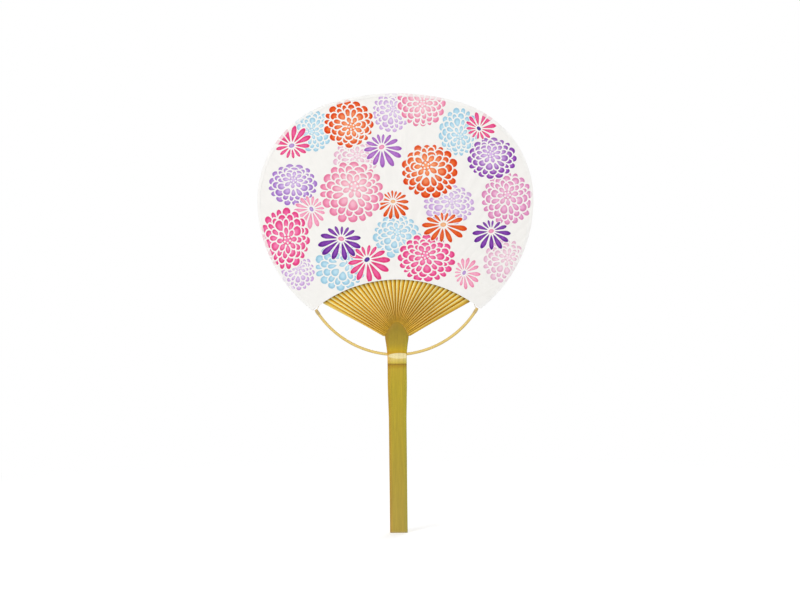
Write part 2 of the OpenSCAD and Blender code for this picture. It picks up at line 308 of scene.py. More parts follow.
# Planed strip: the skin side is dull and waxy, with fibres about a third of a millimetre wide.
strip_bamboo = bamboo("planed_bamboo_strip", 0.35, 0.42, 0.05, 0.35)
# Split ribs: the faces are raw wood without the skin's wax, so they hardly shine.
rib_bamboo = bamboo("split_bamboo_rib", 0.30, 0.70, 0.04, 0.03)
# Round rod: drawn through a die, then bent, so its fibres are shaved through on every side.
rod_bamboo = bamboo("drawn_bamboo_rod", 0.28, 0.40, 0.04, 0.30)
print("bamboo finishes:", [m.name for m in (strip_bamboo, rib_bamboo, rod_bamboo)])

# %% [markdown]
# ## Handle
# The handle is a strip of a thick bamboo stem, flat behind where the inner wall was planed
# off and slightly crowned in front. Across it runs a node, where the bow's hole is drilled,
# so its ring has been shaved off and shows paler wood inside. It could be a box with
# bevels, but then the crown, the shaved facet and the fibres would be missing. It is a
# rounded rectangle carried up the handle instead, with its half width and its front and
# back faces as functions of height, and the facet, the groove and the fibres pressed into
# the front.

# %% Shape of the handle
HANDLE_EDGE_R, EDGE_SHARE = 0.5, 0.6
FRONT_N, BACK_N, CORNER_N = 110, 60, 6
SOFTEN = (-1.5, -0.7, 0, 0.7, 1.5)
# Fine grooves between the fibres: waves per mm, height in mm, phase
GROOVES = ((0.42, 0.012, 0.3), (0.77, 0.010, 2.1), (1.23, 0.009, 4.0), (1.61, 0.006, 5.2))


def butt_rounding(z):
    """How far the rounded end of the handle draws in: a quarter circle over the bevel."""
    return BUTT_BEVEL * (1 - np.sqrt(1 - (1 - np.clip(z / BUTT_BEVEL, 0, 1)) ** 2))


def half_width(z):
    """Straight runs between the measured widths, softened over 3 mm, then the root of the parabola."""
    heights = [0, GRIP_TOP, NECK_Z, NODE_Z, COLLAR_Z, SHOULDER_Z - CHEEK_H, SHOULDER_Z]
    widths = [GRIP_W, GRIP_W, NECK_W, NECK_W, COLLAR_W, SHOULDER_W, SHOULDER_W]
    runs = np.mean([np.interp(z + d, heights, widths) for d in SOFTEN], 0) / 2
    dome = SHOULDER_W / 2 * np.sqrt(np.clip(1 - (z - SHOULDER_Z) / DOME_H, 0, 1))
    return np.where(z > SHOULDER_Z, dome, runs) - butt_rounding(z)


def fibre_relief(x, z):
    """Lengthwise grooves: waves across the strip whose place drifts slowly up the handle."""
    total = 0
    for per_mm, height, phase in GROOVES:
        drift = 0.35 * np.sin(z / 47 + phase) + 0.12 * np.sin(z / 13 + 2 * phase)
        total = total + height * np.sin(2 * np.pi * per_mm * (x + drift) + phase)
    return total


def facet(z, centre, depth, height):
    """Depth of a shallow round cut of that height, straight across the strip."""
    radius = (height ** 2 / 4 + depth ** 2) / (2 * depth)
    return np.sqrt(np.clip(radius ** 2 - (z - centre) ** 2, 0, None)) - (radius - depth)


print("width at the node in mm:", 2 * half_width(NODE_Z).round(2))

# %% Front of the handle
PATCH_Z, PATCH_DEPTH, PATCH_H = NODE_Z - 1.0, 0.45, 4.8
GROOVE_Z, GROOVE_DEPTH, GROOVE_W, GROOVE_BEND = NODE_Z - 8, 0.25, 1.0, 0.35
KNUCKLE_H, KNUCKLE_L = 0.10, 5.5
# The knife went in deeper on one side of the node
PATCH_TILT = 0.018
FRONT_R = (GRIP_W ** 2 / 4 + CROWN_H ** 2) / (2 * CROWN_H)


def front_depth(x, z):
    """Distance of the front from the middle plane, and how deep the knife went below the skin."""
    crown = HANDLE_T / 2 - (FRONT_R - np.sqrt(FRONT_R ** 2 - x ** 2))
    patch = HANDLE_T / 2 - facet(z, PATCH_Z, PATCH_DEPTH, PATCH_H) - PATCH_TILT * x
    bend = GROOVE_BEND * (x / GRIP_W) ** 2
    groove = HANDLE_T / 2 - facet(z - bend, GROOVE_Z, GROOVE_DEPTH, GROOVE_W)
    near = np.abs(z - PATCH_Z) < PATCH_H
    cut = np.where(near, np.minimum(crown, patch), np.minimum(crown, groove))
    # The knuckle of the node stands a little proud above and below the facet
    ring = np.exp(-((z - PATCH_Z) / KNUCKLE_L) ** 2) * smoothstep(GRIP_W / 2, 0, np.abs(x))
    rise = KNUCKLE_H * (ring * (cut > patch - 1e-9) - 1)
    return np.minimum(cut, HANDLE_T / 2) + rise, crown - cut


print("radius of the crowned front in mm:", round(FRONT_R))

# %% Rings of the handle
CLOSE_FROM, CLOSE_TO = 134, 150
BACK_FALLS_Z, PARED_L, PARED_PROUD = NODE_Z + 5, 4.5, 0.1


def handle_rows():
    """Heights of the rings: close over butt and node, and even in width over the dome."""
    plain = np.concatenate([
        BUTT_BEVEL * (1 - np.cos(np.linspace(0, np.pi / 2, 6))), np.arange(2, CLOSE_FROM, 1.5),
        np.arange(CLOSE_FROM, CLOSE_TO, 0.2), np.arange(CLOSE_TO + 0.5, SHOULDER_Z, 1.0)])
    share = np.linspace(1, 0.03, 36)
    return np.concatenate([plain, SHOULDER_Z + DOME_H * (1 - share ** 2)])


def make_handle():
    """Rings of a rounded rectangle whose sides, front and back depend on height."""
    z = handle_rows()[:, None]
    w = half_width(z)
    r = np.minimum(HANDLE_EDGE_R, EDGE_SHARE * w)
    back = np.interp(z, [0, BACK_FALLS_Z, SHOULDER_Z], [HANDLE_T / 2, HANDLE_T / 2, RIB_W / 2])
    turn = np.linspace(0, np.pi / 2, CORNER_N)[None, :]
    x_front = np.linspace(-1, 1, FRONT_N)[None, :] * (w - r)
    x_back = np.linspace(1, -1, BACK_N)[None, :] * (w - r)
    front, knife = front_depth(x_front, z + 0 * x_front)
    # The front is pared down to the ribs along the edge of the dome
    pared = smoothstep(0, PARED_L, split_z(x_front) - z)
    front = mix(np.minimum(front, RIB_W / 2 + PARED_PROUD), front, pared)
    front = front - fibre_relief(x_front, z)
    side, round_y = w - r + r * np.sin(turn), r * (1 - np.cos(turn))
    behind, right, left = back - round_y, round_y - front[:, -1:], round_y - front[:, :1]
    x = np.concatenate([
        x_front, side[:, 1:], side[:, ::-1], x_back[:, 1:], -side[:, 1:], -side[:, :0:-1]], 1)
    y = np.concatenate([
        -front, right[:, 1:], behind[:, ::-1], back + 0 * x_back[:, 1:], behind[:, 1:],
        left[:, :0:-1]], 1)
    # The butt is rounded over in depth as it is in width
    y = y * (1 - butt_rounding(z) / (HANDLE_T / 2))
    cut = np.zeros_like(x)
    cut[:, :FRONT_N] = knife
    return np.stack([x, y, z + 0 * x], -1).reshape(-1, 3), tube_faces(*x.shape), cut.ravel()


handle_points, handle_faces, knife_depth = make_handle()
handle = make_piece("bamboo_handle", handle_points, handle_faces)
print("handle points:", len(handle_points))

# %% [markdown]
# The tone of the handle follows its height: straw with a green cast along the grip, amber
# beside the node with painted shade in the groove below it, pale where the knife went in, and
# olive where the unsplit dome begins.
# The back is the inner wall of the stem, which is paler and yellower.

# %% Tone of the handle
# The stops at 137 and 138 mm are painted shade in the groove below the node
HANDLE_TONES = [
    (0, "#C0AA64"), (2, "#B8A040"), (30, "#B49C38"), (70, "#B59F2C"), (120, "#BAA424"),
    (134, "#BEA428"), (137, "#B08C14"), (138, "#96720C"), (139.2, "#D2BA46"), (142.5, "#E4CB70"),
    (147.5, "#C89C0C"), (150, "#C2A418"), (155, "#AE9424"), (161, "#A68C20"), (173, "#98801E")]
INNER_WALL, SHAVED, RAW_WOOD = linear("#D8C48A"), linear("#F1E2A8"), linear("#B08A10")
WARM_EDGE, GREEN_EDGE = np.array([1.04, 0.84, 0.85]), np.array([0.86, 0.98, 1.05])
CRACK_L, CRACK_DARK, RAW_SHARE = 9, 0.35, 0.6


def handle_tone(points, knife):
    """Tone by height, warmer at one edge and greener at the other, with the shaved wood laid over."""
    x, y, z = points.T
    tone = along_stops(HANDLE_TONES, z)
    side = x / half_width(z).clip(1)
    tone = mix(tone, tone * WARM_EDGE, smoothstep(0.55, 1.0, -side)[:, None])
    tone = mix(tone, tone * GREEN_EDGE, smoothstep(0.5, 1.0, side)[:, None])
    between = 0.5 + 0.5 * np.cos(2 * np.pi * (x + SHOULDER_W / 2) / SLICE)
    run_out = smoothstep(CRACK_L, 0, split_z(x) - z) * (z > SHOULDER_Z - CRACK_L + 1)
    tone = tone * (1 - CRACK_DARK * run_out * between ** 2)[:, None]
    tone = mix(tone, RAW_WOOD, (RAW_SHARE * run_out ** 2)[:, None])
    shaved = smoothstep(0.03, 0.12, knife) * (np.abs(z - PATCH_Z) < PATCH_H)
    tone = mix(tone, SHAVED, shaved[:, None])
    return mix(tone, INNER_WALL, smoothstep(0.2, 1.2, y)[:, None])


paint(handle, "tone", handle_tone(handle_points, knife_depth))
# The back has a grain of its own, so its part of the map lies 3 mm aside
lay_grain(handle, handle_points[:, 0] + 3 * (handle_points[:, 1] > 0.5), handle_points[:, 2])
dress(handle, strip_bamboo, "handle")
print("stops of tone up the handle:", len(HANDLE_TONES))

# %% [markdown]
# ## Ribs
# Each rib is a slice of the handle, about half a millimetre thick. It leaves the dome on
# edge, as it was split, and turns towards the sheet, so the ribs overlap like the slats of a
# blind: each shows a bright front edge and darkens towards the edge behind, with a painted
# highlight on that edge and painted shade behind it. Under the paper it is trimmed narrow.
# A twist modifier would turn a straight bar evenly from end to end.
# Here a small section is carried along each rib with its own width and turn, which are
# functions of the distance from the root.

# %% Turn and width along a rib
TURN_ROWS, HEAD_ROWS = 26, 14
TURN_POWER, OVERLAP, MOST_SHUT, ROOT_MM = 0.6, 1.25, 0.93, 1.1


def spacing_beside(i, s):
    """Distance to the next rib, square to this one, which grows evenly from the root to the paper."""
    beside = i + 1 if i + 1 < RIB_N else i - 1
    at_root = abs((ROOTS[beside] - ROOTS[i]) @ ACROSS[i])
    at_edge = abs((EDGE_ENDS[beside] - EDGE_ENDS[i]) @ ACROSS[i])
    return np.interp(s, [0, TO_EDGE[i]], [at_root, at_edge])


def rib_sizes(i):
    """Distance from the root, turn and width of each row. The turn grows with a power of the
    distance, but is at least what closes the gap: asin((overlap * spacing - thickness) / width)."""
    edge, trim, tip = TO_EDGE[i], TO_TRIM[i], TO_RIM[i] - TIP_GAP
    free, head = np.linspace(0, 1, TURN_ROWS) ** 2, np.linspace(trim, tip, HEAD_ROWS)
    s = np.concatenate([edge * free, head])
    width = np.interp(s, [0, edge, trim, tip], [RIB_W, EDGE_RIB_W, HEAD_RIB_W, TIP_W])
    near, wide = edge * free, width[:TURN_ROWS]
    shut = np.arcsin(np.clip((OVERLAP * spacing_beside(i, near) - RIB_T) / wide, 0, MOST_SHUT))
    turn = np.maximum(RIB_TURN * free ** TURN_POWER, shut * smoothstep(0, ROOT_MM, near))
    return s, np.concatenate([turn, np.full(HEAD_ROWS, HEAD_TURN)]), width


print("turn of the first rib in degrees, root to paper:",
      np.degrees(rib_sizes(0)[1][[0, TURN_ROWS // 2, TURN_ROWS - 1]]).round(1))

# %% Shape of a rib
ROOT_GAP, THIN_MM = 0.06, 26
# A rib split by hand is up to these shares narrower and thinner, and sways by up to so many mm
NARROWER, THINNER, SWAY = 0.03, 0.04, 0.08
# Corners and face points of the section, in halves of its thickness and of its width
FACE = np.array([-0.6, -0.3, 0, 0.3, 0.6])
SECTION = np.concatenate([
    [[-1, -0.9], [-0.72, -1], [0.72, -1], [1, -0.9]], np.column_stack([np.ones(5), FACE]),
    [[1, 0.9], [0.72, 1], [-0.72, 1], [-1, 0.9]], np.column_stack([-np.ones(5), FACE[::-1]])])


def rib_shape(i, rng):
    """Section points c + across the thickness + across the width, turned about the rib's line."""
    s, turn, width = rib_sizes(i)
    free = np.sin(np.pi * np.clip(s / TO_EDGE[i], 0, 1))
    width = width * (1 - free * NARROWER * rng.random())
    slice_x = ROOTS[i, 0] + np.array([-1, 1]) * (SLICE - ROOT_GAP) / 2
    slice_span = abs(np.diff([slice_x, split_z(slice_x)]).ravel() @ ACROSS[i])
    thick = RIB_T * (1 - THINNER * rng.random())
    thick = thick + max(slice_span - thick, 0) * (1 - smoothstep(0, THIN_MM, s))[:, None]
    sway = free * rng.uniform(-SWAY, SWAY)
    u, v = SECTION.T[:, None]
    sin, cos = np.sin(turn)[:, None], np.cos(turn)[:, None]
    side = cos * u * thick / 2 + sin * v * width[:, None] / 2 + sway[:, None]
    depth = -sin * u * thick / 2 + cos * v * width[:, None] / 2
    line = ROOTS[i] + s[:, None] * ALONG[i]
    x = line[:, :1] + side * ACROSS[i, 0]
    z = line[:, 1:] + side * ACROSS[i, 1]
    # At the root the slice is as thick as the blade left it, and lies in the end of the split
    root_x = ROOTS[i, 0] + u[0] * (SLICE - ROOT_GAP) / 2
    x[0], z[0], depth[0] = root_x, split_z(root_x), v[0] * RIB_W / 2
    return np.stack([x, depth, z], -1).reshape(-1, 3), s, turn, width


# %% [markdown]
# What shows of a rib is the strip between its front edge and the front edge of the next. Its
# tone is painted light and shade: it goes across that strip from a painted highlight in pale
# straw through gold to painted shade in brown, where it goes under its neighbour. All ribs
# have painted shade near the dome, where less light gets between them, and a thin painted
# shadow along the paper's edge, where the sheet stands over them.

# %% Tone and making of the ribs
# Painted highlight at the front edge, through gold, to painted shade where the rib goes under the next
RIB_HIGHLIGHT_AND_SHADE_STOPS = [
    (0.0, "#FFF6B2"), (0.3, "#FBE482"), (0.55, "#E6B22E"), (0.82, "#CF920F"), (1.0, "#A06A00")]
# The first colour is painted shade near the dome, where less light gets between the ribs
DOME_SHADE_TONE, OUTER_TONE = linear("#DAA612"), linear("#EBC55A")
DOME_SHADE_SHARE, DOME_SHADE_REACH, OUTER_SHARE = 0.9, 0.9, 0.5
# A painted shadow 1 mm wide along the paper's edge, where the sheet stands over the ribs, and painted
# shade over the first 9 mm from the dome
PAPER_EDGE_SHADOW_MM, PAPER_EDGE_SHADOW, SHADE_MM, SHADE = 1.0, 0.35, 9, 0.2


def rib_tone(i, s, turn, width, rng):
    """Painted highlight to painted shade by the share of the strip that shows, mixed into painted shade
    near the dome, with a painted shadow at the paper's edge.
    """
    front = width * np.sin(turn) + RIB_T * np.cos(turn)
    seen = np.clip(spacing_beside(i, s) / front, 0.25, 1)[:, None]
    tone = along_stops(RIB_HIGHLIGHT_AND_SHADE_STOPS, np.clip((SECTION[:, 1] + 1) / 2 / seen, 0, 1))
    # Painted shade near the dome, fading out towards the paper
    near = DOME_SHADE_SHARE * (1 - smoothstep(0, DOME_SHADE_REACH, s / TO_EDGE[i]))[:, None, None]
    tone = mix(tone, DOME_SHADE_TONE, near)
    if i in (0, RIB_N - 1):
        tone = mix(tone, OUTER_TONE, OUTER_SHARE)
    # Painted shadow under the paper's edge and painted shade near the dome
    painted_shade = PAPER_EDGE_SHADOW * smoothstep(TO_EDGE[i] - PAPER_EDGE_SHADOW_MM, TO_EDGE[i], s)
    painted_shade = painted_shade + SHADE * (1 - smoothstep(0, SHADE_MM, s))
    return (tone * (1 - painted_shade[:, None, None]) * rng.uniform(0.93, 1.06)).reshape(-1, 3)


rng = np.random.default_rng(36)
for i in range(RIB_N):
    rib_points, s, turn, width = rib_shape(i, rng)
    rib = make_piece(f"split_rib_{i + 1:02d}", rib_points, tube_faces(len(s), len(SECTION)))
    paint(rib, "tone", rib_tone(i, s, turn, width, rng))
    across_mm = (SECTION[:, 1] * width[:, None] / 2).ravel()
    # No two ribs take their streaks from the same place of the grain
    lay_grain(rib, across_mm + 5 * i, np.repeat(s, len(SECTION)) + 31 * i)
    dress(rib, rib_bamboo, f"rib_{i + 1:02d}")
print("ribs:", RIB_N, "points in each:", len(rib_points))

# %% [markdown]
# ## Bow
# The bow is a thin round rod pushed through the hole in the node and bent up to the corners
# of the paper. A bevelled curve would do, but it gives no grain direction. A circle carried
# along the same arc as the solid's keeps it. The rod was drawn through a die, so it is
# round but for a few flat facets, and its ends were nipped off square.

# %% Bow
BOW_TIP_X = (EDGE_R - BOW_GAP) * math.sin(BOW_TIP)
BOW_TIP_Z = EDGE_Z + (EDGE_R - BOW_GAP) * math.cos(BOW_TIP)
BOW_R = (BOW_TIP_X ** 2 + (BOW_TIP_Z - NODE_Z) ** 2) / (2 * (BOW_TIP_Z - NODE_Z))
BOW_CZ = NODE_Z + BOW_R
BOW_HALF = math.atan2(BOW_TIP_X, BOW_CZ - BOW_TIP_Z)
BOW_ROWS, BOW_SIDES = 150, 28
# The first two tones paint light and shade: pale on the rod's front, darker towards its sides and back
BOW_PAINTED_LIGHT, BOW_PAINTED_SHADE, BOW_END = linear("#ECCF7C"), linear("#AE842C"), linear("#CC9C48")
FIVE_FACETS, THREE_FACETS = 0.012, 0.008
NIP_MM, NIP_SHARE, END_MM = 0.25, 0.86, 1.2


def make_bow():
    """Circle of radius r(1 - facets) round the arc: radius and angle give each point of the rod."""
    nip = NIP_MM / BOW_R
    turn = np.concatenate([
        [-BOW_HALF], np.linspace(-BOW_HALF + nip, BOW_HALF - nip, BOW_ROWS), [BOW_HALF]])[:, None]
    phi = np.linspace(0, 2 * np.pi, BOW_SIDES, endpoint=False)[None, :]
    facets = FIVE_FACETS * np.cos(5 * phi + 0.6) + THREE_FACETS * np.sin(3 * phi + turn * 4)
    radius = BOW_D / 2 * (1 - FIVE_FACETS - THREE_FACETS - np.abs(facets))
    radius[[0, -1]] *= NIP_SHARE
    out = BOW_R + radius * np.sin(phi)
    x, z, y = out * np.sin(turn), BOW_CZ - out * np.cos(turn), -radius * np.cos(phi)
    # Painted light and shade: pale where the rod faces the front, darker round its sides and back
    tone = mix(BOW_PAINTED_SHADE, BOW_PAINTED_LIGHT, (0.5 + 0.5 * np.cos(phi) + 0 * turn)[..., None] ** 1.5)
    tone = mix(tone, BOW_END, smoothstep(BOW_HALF - END_MM / BOW_R, BOW_HALF, np.abs(turn))[..., None])
    grain = (BOW_D / 2 * phi + 0 * turn).ravel(), (BOW_R * turn + 0 * phi).ravel()
    return np.stack([x, y, z], -1).reshape(-1, 3), x.shape, tone.reshape(-1, 3), grain


bow_points, bow_shape, bow_tone, bow_grain = make_bow()
bow = make_piece("bow_rod", bow_points, tube_faces(*bow_shape))
paint(bow, "tone", bow_tone)
lay_grain(bow, *bow_grain)
dress(bow, rod_bamboo, "bow")
print("bow's rod is", round(2 * BOW_HALF * BOW_R), "mm long")

# %% [markdown]
# ## Lines of the sheets
# Both sheets have the head's outline: three arcs round the rim and one across the lower
# edge. Over each rib the paper stands up, and between two ribs it sinks a little, because
# the sheets are pasted to each other there. All of this is one depth, a function of the
# place on the sheet, so the front, the back and the edging fit each other.

# %% Outline of a sheet
def arc(cx, cz, radius, start, stop, step=1.2):
    """Points step mm apart on an arc, turned clockwise from straight up."""
    turn = np.linspace(start, stop, max(3, int(abs(stop - start) * radius / step)))
    return np.array([cx, cz]) + radius * direction(turn)


def rim_line(grow=0.0):
    """The rim from the left corner over the crown to the right corner, moved out by grow."""
    right = np.pi / 2
    return np.concatenate([
        arc(0, WIDEST_Z, RIM_R + grow, -RIM_CORNER, -right)[:-1],
        arc(-SIDE_X, WIDEST_Z, SIDE_R + grow, -right, -JOINT)[:-1],
        arc(0, TOP_Z, TOP_R + grow, -JOINT, JOINT)[:-1],
        arc(SIDE_X, WIDEST_Z, SIDE_R + grow, JOINT, right)[:-1],
        arc(0, WIDEST_Z, RIM_R + grow, right, RIM_CORNER)])


OUTLINE = np.concatenate([rim_line(), arc(0, EDGE_Z, EDGE_R, CORNER, -CORNER)[1:-1]])[::-1]


def from_rim(p):
    """How far a place lies inside the rim: radius less distance, on the arc that it is nearest."""
    x, z = np.abs(p[:, 0]), p[:, 1]
    low = RIM_R - np.hypot(x, z - WIDEST_Z)
    side = SIDE_R - np.hypot(x - SIDE_X, z - WIDEST_Z)
    top = TOP_R - np.hypot(x, z - TOP_Z)
    beside = np.arctan2(x - SIDE_X, z - WIDEST_Z) >= JOINT
    return np.where(z < WIDEST_Z, low, np.where(beside, side, top))


def from_rib(p):
    """Distance of a place from the nearest rib's line."""
    gap = p[:, None, :] - ROOTS[None]
    return np.abs((gap * ACROSS[None]).sum(2)).min(1)


print("points of the outline:", len(OUTLINE))

# %% Depth of a sheet
def half_depth(width, turn):
    """Half of the front to back depth of a turned rib."""
    return (width * math.cos(turn) + RIB_T * math.sin(turn)) / 2


HEAD_HALF = half_depth(HEAD_RIB_W, HEAD_TURN)
THREAD_Y = HEAD_HALF + THREAD_CLEAR + THREAD_D / 2
LOW_FACE = max(half_depth(EDGE_RIB_W, RIB_TURN), THREAD_Y + THREAD_D / 2) + PASTE
HIGH_FACE = HEAD_HALF + PASTE
CLOSE_R = EDGE_R + THREAD_IN + THREAD_D
SAG, SAG_FROM, SAG_TO, SAG_LOW = 0.30, 1.0, 3.4, 12
# Half of the space between the sheets at the closed rim, and the least of it anywhere
RIM_HALF, LEAST_HALF = 0.10, 0.06
PINCH_FROM, PINCH_TO, PINCH_LOW = 0.1, TIP_GAP + 0.6, (2, 14)
# Soft creases left by hanging and handling: ends in mm, half width and height
CREASES = [((62, 203), (92, 226), 1.6, 0.28), ((70, 196), (103, 214), 1.2, -0.20),
           ((84, 200), (100, 240), 2.2, 0.22), ((-96, 228), (-74, 205), 2.0, 0.14),
           ((20, 330), (24, 300), 2.0, 0.08), ((-12, 290), (-14, 262), 2.4, 0.08)]


def crease(p, start, stop, half, height):
    """A ridge with a bell profile round a line, fading out towards its ends."""
    start, stop = np.array(start), np.array(stop)
    run = stop - start
    share = ((p - start) @ run) / (run @ run)
    away = p - (start + np.clip(share, 0, 1)[:, None] * run)
    ends = np.clip(4 * share * (1 - share), 0, 1)
    return height * ends * np.exp(-(away ** 2).sum(1) / half ** 2)


def face_depth(p):
    """Distance of a sheet's inner face from the middle plane: straight from the lower edge's height
    to the head's, less the sag between two ribs and the pinch at the rim, plus the creases."""
    from_centre = np.hypot(p[:, 0], p[:, 1] - EDGE_Z)
    base = np.interp(from_centre, [CLOSE_R, CLOSE_R + CLOSE_L], [LOW_FACE, HIGH_FACE])
    sink = SAG * smoothstep(SAG_FROM, SAG_TO, from_rib(p))
    sink = sink * smoothstep(EDGE_R, EDGE_R + SAG_LOW, from_centre)
    pinch = (HIGH_FACE - RIM_HALF) * (1 - smoothstep(PINCH_FROM, PINCH_TO, from_rim(p)))
    pinch = pinch * smoothstep(EDGE_R + PINCH_LOW[0], EDGE_R + PINCH_LOW[1], from_centre)
    folds = sum(crease(p, *c) for c in CREASES)
    return np.maximum(base - sink - pinch + np.where(pinch > 0.02, 0, folds), LEAST_HALF)


print("half space at the lower edge and in the head in mm:", round(LOW_FACE, 2), round(HIGH_FACE, 2))

# %% [markdown]
# ## The print
# Chrysanthemums are one of the oldest patterns on Japanese printed paper: round heads of
# many scale petals, and open ones with a single row of long petals. An image would fix
# their sharpness, so each petal is an outline made by a formula and becomes faces of the
# sheet itself. They are painted from back to front as a printer would lay them: every
# petal is first put down a little larger in the paper's own white, which leaves the thin
# white line round it, and then in its ink.

# %% Petal outlines
PAPER = linear("#F7F5F1")
WHITE_LINE, SCALE_LINE = 0.9, 1.15
CORE_SHARE = 0.45
SHAPES, INKS, CORES = [], [], []
INK_ROW = np.dtype([
    ("light", float, 3), ("deep", float, 3), ("heart", float, 2), ("spread", float),
    ("middle", float, 2), ("metric", float, (2, 2))])


def put(outline, ink, heart=(0, 0), spread=1.0):
    """Paints an outline over what is there.

    The ink is a pair, light at the heart and deep at the distance spread. Twice the outline's
    covariance, inverted, measures how far out in the petal a place lies: 0 in its middle and
    1 on its line. Points nearly half way out keep the petal's core, where the ink is thinner.
    """
    middle = outline.mean(0)
    arms = outline - middle
    metric = np.linalg.inv(2 * arms.T @ arms / len(arms))
    SHAPES.append(outline)
    INKS.append((*ink, heart, spread, middle, metric))
    if ink is not BLANK:
        CORES.append(middle + CORE_SHARE * arms[::3])


BLANK = (PAPER, PAPER)


def oval(centre, wide, tall, turn=0.0, n=16):
    """x = wide cos t, z = tall sin t, turned clockwise."""
    t = np.linspace(0, 2 * np.pi, n, endpoint=False)
    u, v = wide * np.cos(t), tall * np.sin(t)
    return centre + np.column_stack([
        u * math.cos(turn) + v * math.sin(turn), v * math.cos(turn) - u * math.sin(turn)])


def wedge_petal(low, high, turn, half_angle, gap, power, n):
    """A superellipse in polar coordinates: |u|^p + |v|^p = 1, where u runs outward from low to
    high and v across a wedge that stays half a gap inside its sides."""
    t = np.linspace(0, 2 * np.pi, n, endpoint=False) + np.pi / n
    u = np.sign(np.cos(t)) * np.abs(np.cos(t)) ** (2 / power)
    v = np.sign(np.sin(t)) * np.abs(np.sin(t)) ** (2 / power)
    out = np.maximum((low + high) / 2 + (high - low) / 2 * u, 0.02)
    angle = turn + v * half_angle * np.clip(1 - gap / 2 / out / half_angle, 0.1, 1.3)
    return out[:, None] * direction(angle)


# %% [markdown]
# A round head is built from rings of scale petals. The outermost ring goes down first and
# each ring inside covers the feet of the last. The rings' centres slide from the middle of
# the head towards its heart, which sits off centre, and so the head seems to tip back. In
# the heart eight leaf-shaped petals lie round five white dots.

# %% Rings of a round chrysanthemum
RING_LIMITS = (0.46, 0.64, 0.82, 1.0)
HEART_N, RING_SHARES = 8, (0.69, 0.86, 1.0)
HEART_POWER, SCALE_POWER = 1.5, 2.1
HEART_R, UNDER, VALLEY_PULL, INK_SHARE = 0.17, 0.9, 0.6, 0.975
SPOTS, SPOT_OUT, SPOT_R = 5, 0.105, 0.037
GROUND_SHARE, HEART_FOOT = 0.93, 0.7
# How unevenly the petals stand and end, and by how much those of the heart may be shorter
STRAY, UNEVEN, SHORTER = 0.03, 0.018, 0.07


def ring_turns(counts, rng):
    """Directions of the petals in each ring: even shares of the circle, each moved part of the
    way to the nearest valley between two petals of the ring inside."""
    laid = []
    for n in counts:
        turns = 2 * np.pi * (np.arange(n) + rng.uniform(0, 1) + rng.normal(0, STRAY, n)) / n
        if laid:
            valleys = laid[-1] + np.diff(laid[-1], append=laid[-1][0] + 2 * np.pi) / 2
            off = (valleys[None, :] - turns[:, None] + np.pi) % (2 * np.pi) - np.pi
            turns = turns + VALLEY_PULL * off[np.arange(n), np.abs(off).argmin(1)]
        laid.append(turns)
    return laid


# %% Round chrysanthemum
def round_head(x, z, rx, rz, hx, hz, ink, outermost, seed):
    """Petals of ring k end at its limit and share the ring; each is widest under the ring inside,
    so that only a scale with two sharp corners shows."""
    rng = np.random.default_rng(seed)
    middle, heart = np.array([x, z]), np.array([x + hx, z + hz])
    size = INK_SHARE * np.array([rx, rz])
    radius = size.mean()
    line = SCALE_LINE / radius
    counts = [HEART_N, *(round(outermost * share) for share in RING_SHARES)]
    laid = ring_turns(counts, rng)
    put(oval(middle, GROUND_SHARE * rx, GROUND_SHARE * rz, n=40), BLANK)
    for k in range(len(counts) - 1, -1, -1):
        turns, high, n = laid[k], RING_LIMITS[k], counts[k]
        inside = RING_LIMITS[max(k - 1, 0)]
        low = HEART_FOOT * HEART_R if k == 0 else inside - UNDER * (high - inside)
        power = HEART_POWER if k == 0 else SCALE_POWER
        centre = heart + (middle - heart) * (high if k else 0)
        after = np.diff(turns, append=turns[0] + 2 * np.pi) / 2
        before = np.roll(after, 1)
        tops = high + rng.normal(0, UNEVEN, n) * (k > 0) - rng.uniform(0, SHORTER, n) * (k == 0)
        petals = list(zip(tops, turns + (after - before) / 2, (after + before) / 2))
        for grow, gap, n, layer in ((line, -line, 14, BLANK), (0, line, 18, ink)):
            for top, turn, half in petals:
                outline = wedge_petal(low - grow, top + grow, turn, half, gap, power, n)
                put(centre + size * outline, layer, heart, radius)
    put(oval(heart, HEART_R * radius, HEART_R * radius, n=12), ink, heart, radius)
    for turn in 2 * np.pi * (np.arange(SPOTS) + rng.uniform(0, 1)) / SPOTS:
        spot = heart + SPOT_OUT * radius * direction(turn)
        put(oval(spot, SPOT_R * radius, SPOT_R * radius, n=9), BLANK)


# %% [markdown]
# An open head has one row of petals round an oval eye. The eye sits off the middle too,
# and each petal runs from it to the head's oval, so the near petals are the long ones.

# %% Petal of an open chrysanthemum
EYE_WIDE, EYE_TALL, EYE_ROOM = 2.25, 1.6, 2.9
# Mean half size of the head that such an eye belongs to, and the most that an eye is enlarged
PLAIN_HALF, LARGEST = 14, 1.1
FULLEST, PETAL_SHARE, BROADEST, SLIMMEST, FOOT = 0.66, 0.88, 0.15, 0.12, 0.10
OVAL_POWER, GAP_SHARE, RAY_STRAY = 0.35, 0.8, 0.025


def long_petal(start, turn, length, inner, half_angle, gap, n=9):
    """Half width share * tan(half_angle) * distance - gap / 2, closed by quarter ovals at both ends."""
    t = np.sin(np.linspace(0, np.pi / 2, n)) ** 1.2
    far = np.clip((t - FULLEST) / (1 - FULLEST), 0, 1)
    near = np.clip(1 - t / FOOT, 0, 1)
    half = PETAL_SHARE * math.tan(half_angle) * (inner + t * length) - gap / 2
    half = np.clip(half, SLIMMEST, BROADEST * length)
    half = half * np.sqrt(1 - far ** 2) * np.sqrt(1 - near ** 2)
    middle = start + (t * length)[:, None] * direction(turn)
    aside = half[:, None] * direction(turn)[::-1] * [-1, 1]
    return np.concatenate([(middle + aside)[:-1], (middle - aside)[:0:-1]])[::-1]


